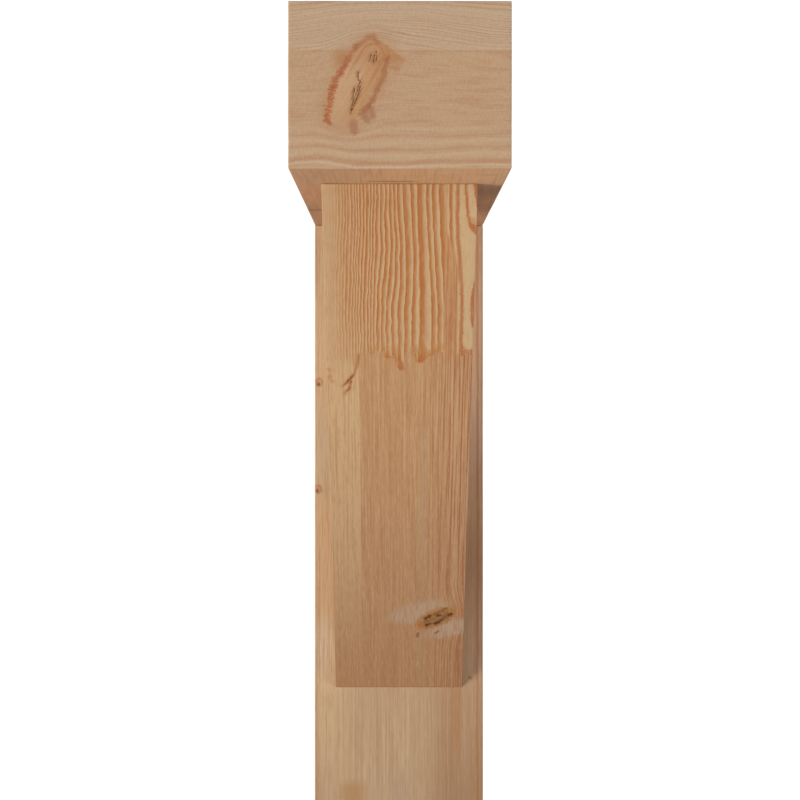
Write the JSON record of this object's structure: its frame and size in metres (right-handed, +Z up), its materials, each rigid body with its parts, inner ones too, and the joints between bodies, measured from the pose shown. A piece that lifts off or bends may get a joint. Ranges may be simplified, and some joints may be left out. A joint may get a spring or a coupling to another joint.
{
  "type": "timber block bracket",
  "caption": "Timber wall bracket: a leg against the wall, a beam reaching out over its top, and a straight diagonal brace that props the beam.",
  "frame": {"origin": "on the wall face, in the middle of the width and half way between the leg's foot and the beam's top", "axes": "+Y points into the wall and -Y is the way the beam reaches out, +Z is up, and +X is across the width"},
  "size_m": [0.2032, 0.8636, 0.8636],
  "materials": {
    "beam_timber": "bare sawn softwood, matt, with fine lengthwise grain and a knot in the free end",
    "leg_timber": "bare sawn softwood, matt, straight grain with pin knots",
    "brace_timber": "bare planed softwood, matt, cream wood with orange late-wood stripes and a knot near the foot"
  },
  "bodies": {
    "root": {"top_beam": "beam_timber", "wall_leg": "leg_timber", "diagonal_brace": "brace_timber"}
  },
  "joints": []
}
